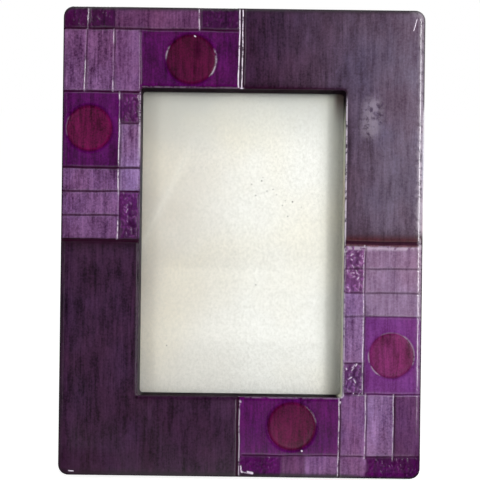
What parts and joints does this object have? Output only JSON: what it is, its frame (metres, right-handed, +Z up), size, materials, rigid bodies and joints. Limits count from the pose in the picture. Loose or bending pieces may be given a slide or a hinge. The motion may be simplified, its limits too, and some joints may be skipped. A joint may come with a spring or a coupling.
{
  "type": "ceramic picture frame",
  "caption": "Ceramic photo frame with a purple block relief, glass, turn-button back and a folding easel leg; stands on a table or hangs on a nail.",
  "frame": {"origin": "middle of the footprint on the table, below the leaning frame", "axes": "+Z up, face towards -Y and leaning back 13 degrees, +X to the right as seen from the front"},
  "size_m": [0.17, 0.0848, 0.2175],
  "materials": {
    "purple_glaze": "gloss",
    "clear_glass": "gloss",
    "print_paper": "matte",
    "grey_card": "matte",
    "fibreboard": "matte",
    "black_board": "matte",
    "brass_plate": "satin",
    "steel_plate": "satin",
    "black_ribbon": "satin"
  },
  "bodies": {
    "frame": {"ceramic_body": "purple_glaze", "glass_pane": "clear_glass", "insert_sheet": "print_paper", "filler_card": "grey_card", "back_ring": "fibreboard", "back_board": "black_board", "hinge_board_leaf": "brass_plate", "hinge_pin": "steel_plate", "board_leaf_rivets": "brass_plate", "stay_ribbon": "black_ribbon", "ribbon_board_rivet": "brass_plate", "turn_button_screws": "steel_plate", "portrait_hanger": "brass_plate", "landscape_hanger": "brass_plate", "hanger_nails": "brass_plate"},
    "leg": {"easel_leg": "black_board", "hinge_leg_leaf": "brass_plate", "leg_leaf_rivets": "brass_plate", "ribbon_leg_rivet": "brass_plate"},
    "upper_left_button": {"turn_button_upper_left": "steel_plate"},
    "upper_right_button": {"turn_button_upper_right": "steel_plate"},
    "lower_left_button": {"turn_button_lower_left": "steel_plate"},
    "lower_right_button": {"turn_button_lower_right": "steel_plate"}
  },
  "joints": [
    {"name": "leg_fold", "type": "hinge", "parent": "frame", "child": "leg", "pos_m": [0, 0.0103, 0.15343], "axis": [-1, 0, 0], "range_deg": [0, 24], "deforming": ["stay_ribbon"]},
    {"name": "upper_left_swivel", "type": "hinge", "parent": "frame", "child": "upper_left_button", "pos_m": [-0.06055, 0.0092, 0.15579], "axis": [0, 0.9744, -0.225], "continuous": true},
    {"name": "upper_right_swivel", "type": "hinge", "parent": "frame", "child": "upper_right_button", "pos_m": [0.06055, 0.0092, 0.15579], "axis": [0, 0.9744, -0.225], "continuous": true},
    {"name": "lower_left_swivel", "type": "hinge", "parent": "frame", "child": "lower_left_button", "pos_m": [-0.06055, -0.01329, 0.05835], "axis": [0, 0.9744, -0.225], "continuous": true},
    {"name": "lower_right_swivel", "type": "hinge", "parent": "frame", "child": "lower_right_button", "pos_m": [0.06055, -0.01329, 0.05835], "axis": [0, 0.9744, -0.225], "continuous": true}
  ]
}
